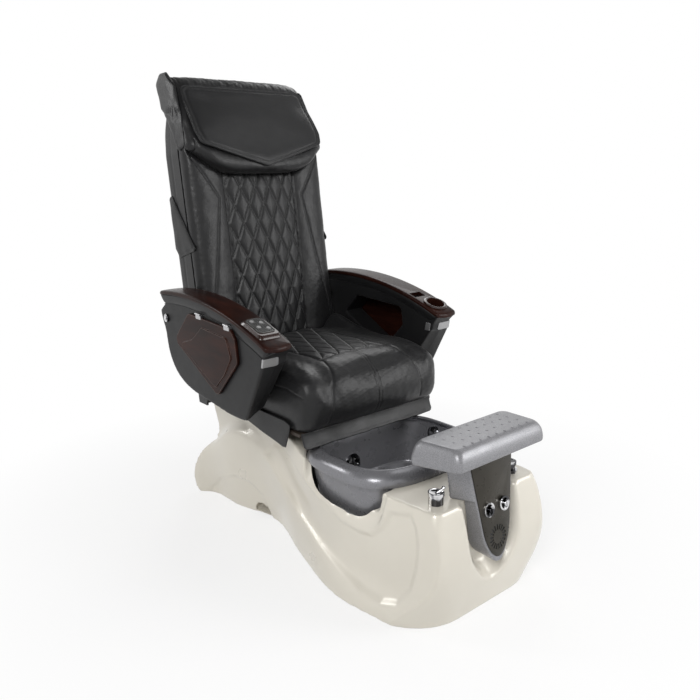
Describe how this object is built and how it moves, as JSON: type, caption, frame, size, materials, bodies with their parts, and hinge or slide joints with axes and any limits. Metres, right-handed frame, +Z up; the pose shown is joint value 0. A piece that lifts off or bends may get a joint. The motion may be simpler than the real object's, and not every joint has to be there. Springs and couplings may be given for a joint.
{
  "type": "pedicure spa chair",
  "caption": "Reclining massage lounge chair on a moulded base with a foot basin, a lifting footrest, water valves, swing-up arms with doors, and a keypad.",
  "frame": {"origin": "on the floor, under the middle of the chair's outer box", "axes": "+Z up, -Y the way the sitter faces, +X the sitter's left"},
  "size_m": [0.7928, 1.2761, 1.4661],
  "materials": {
    "pearl_shell": "glossy",
    "basin_grey": "satin",
    "footrest_grey": "satin",
    "plate_dark": "glossy",
    "chrome": "polished",
    "black_leather": "satin",
    "black_plastic": "matte",
    "grey_plastic": "matte",
    "rosewood": "lacquered",
    "silver_paint": "satin",
    "black_paint": "satin",
    "steel": "brushed",
    "rubber": "matte",
    "board": "plain",
    "brown_plastic": "glossy",
    "arm_plastic": "satin"
  },
  "bodies": {
    "base": {"base_shell": "pearl_shell", "basin": "basin_grey", "drain_fitting": "chrome", "rear_jet_ring": "chrome", "rear_jet_motor": "black_plastic", "fill_spout": "chrome", "floor_frame": "black_paint", "levelling_feet": "rubber", "control_box": "black_plastic", "power_inlet": "black_plastic", "footrest_pedestal": "footrest_grey", "control_plate": "plate_dark", "mixing_valve": "steel", "diverter_body": "chrome", "spray_collar": "chrome", "seat_rails": "steel", "slide_actuator": "black_paint"},
    "impeller": {"rear_jet_impeller": "grey_plastic"},
    "hot_valve": {"hot_handle": "chrome"},
    "cold_valve": {"cold_handle": "chrome"},
    "footrest": {"footrest_pad": "footrest_grey", "footrest_post": "steel"},
    "diverter": {"diverter_handle": "chrome"},
    "spray": {"spray_head": "chrome"},
    "seat": {"seat_frame": "black_paint", "seat_pan": "board", "seat_cushion": "black_leather", "seat_apron": "black_leather", "side_flap_left": "black_leather", "side_flap_right": "black_leather", "slide_rod": "steel", "recline_motor": "black_paint", "arm_pivots": "chrome"},
    "backrest": {"back_frame": "black_paint", "back_shell": "black_leather", "back_cushion": "black_leather", "head_pillow": "black_leather", "head_flap": "black_leather", "side_pocket_left": "black_leather", "side_pocket_right": "black_leather", "massage_rails": "steel", "massage_motor": "black_plastic"},
    "screw": {"lead_screw": "steel"},
    "carriage": {"massage_carriage": "black_plastic"},
    "kneader": {"kneading_shaft": "grey_plastic"},
    "left_arm": {"arm_shell_left": "arm_plastic", "arm_cap_left": "rosewood", "arm_trim_left": "silver_paint", "cup_holder": "brown_plastic"},
    "right_arm": {"arm_shell_right": "arm_plastic", "arm_cap_right": "rosewood", "arm_trim_right": "silver_paint", "keypad_pod": "brown_plastic", "keypad_face": "silver_paint"},
    "left_door": {"door_left": "rosewood"},
    "right_door": {"door_right": "rosewood"},
    "power_button": {"power_key": "grey_plastic"},
    "recline_button": {"recline_key": "grey_plastic"},
    "slide_button": {"slide_key": "grey_plastic"},
    "massage_button": {"massage_key": "grey_plastic"}
  },
  "joints": [
    {"name": "impeller_spin", "type": "hinge", "parent": "base", "child": "impeller", "pos_m": [-0.028, -0.06673, 0.261], "axis": [0, 0.9833, -0.1821], "continuous": true},
    {"name": "hot_turn", "type": "hinge", "parent": "base", "child": "hot_valve", "pos_m": [-0.032, -0.6134, 0.302], "axis": [0, 0.9877, -0.1564], "range_deg": [0, 90]},
    {"name": "cold_turn", "type": "hinge", "parent": "base", "child": "cold_valve", "pos_m": [0.032, -0.6134, 0.302], "axis": [0, 0.9877, -0.1564], "range_deg": [-90, 0]},
    {"name": "footrest_lift", "type": "slide", "parent": "base", "child": "footrest", "axis": [0, 0, 1], "range_m": [0, 0.05]},
    {"name": "diverter_turn", "type": "hinge", "parent": "base", "child": "diverter", "pos_m": [-0.157, -0.5394, 0.358], "axis": [0, 0, 1], "range_deg": [-90, 90]},
    {"name": "spray_pull", "type": "slide", "parent": "base", "child": "spray", "axis": [0, 0, 1], "range_m": [0, 0.06]},
    {"name": "seat_slide", "type": "slide", "parent": "base", "child": "seat", "axis": [0, 1, 0], "range_m": [-0.05, 0.05]},
    {"name": "backrest_recline", "type": "hinge", "parent": "seat", "child": "backrest", "pos_m": [0, 0.3976, 0.455], "axis": [-1, 0, 0], "range_deg": [0, 28]},
    {"name": "carriage_travel", "type": "slide", "parent": "backrest", "child": "carriage", "axis": [0, 0.1478, 0.989], "range_m": [-0.18, 0.2]},
    {"name": "screw_turn", "type": "hinge", "parent": "backrest", "child": "screw", "pos_m": [0, 0.47244, 0.58533], "axis": [0, 0.1478, 0.989], "range_deg": [-3300, 3700]},
    {"name": "kneading_spin", "type": "hinge", "parent": "carriage", "child": "kneader", "pos_m": [0, 0.49301, 0.94626], "axis": [1, 0, 0], "continuous": true},
    {"name": "left_arm_lift", "type": "hinge", "parent": "seat", "child": "left_arm", "pos_m": [0.34, 0.4446, 0.702], "axis": [-1, 0, 0], "range_deg": [0, 85]},
    {"name": "right_arm_lift", "type": "hinge", "parent": "seat", "child": "right_arm", "pos_m": [-0.34, 0.4446, 0.702], "axis": [-1, 0, 0], "range_deg": [0, 85]},
    {"name": "left_door_swing", "type": "hinge", "parent": "left_arm", "child": "left_door", "pos_m": [0.3934, 0.0706, 0.741], "axis": [0, -0.9988, -0.0499], "range_deg": [0, 80]},
    {"name": "right_door_swing", "type": "hinge", "parent": "right_arm", "child": "right_door", "pos_m": [-0.3934, 0.0706, 0.741], "axis": [0, 0.9988, 0.0499], "range_deg": [0, 80]},
    {"name": "power_press", "type": "slide", "parent": "right_arm", "child": "power_button", "axis": [0, 0.3105, -0.9506], "range_m": [0, 0.0012], "stiffness_N_per_m": 600, "springref_m": -0.001},
    {"name": "recline_press", "type": "slide", "parent": "right_arm", "child": "recline_button", "axis": [0, 0.3105, -0.9506], "range_m": [0, 0.0012], "stiffness_N_per_m": 600, "springref_m": -0.001},
    {"name": "slide_press", "type": "slide", "parent": "right_arm", "child": "slide_button", "axis": [0, 0.3105, -0.9506], "range_m": [0, 0.0012], "stiffness_N_per_m": 600, "springref_m": -0.001},
    {"name": "massage_press", "type": "slide", "parent": "right_arm", "child": "massage_button", "axis": [0, 0.3105, -0.9506], "range_m": [0, 0.0012], "stiffness_N_per_m": 600, "springref_m": -0.001}
  ],
  "couplings": [
    {"joint": "screw_turn", "follows": "carriage_travel", "rad_per_m": 314.16}
  ]
}
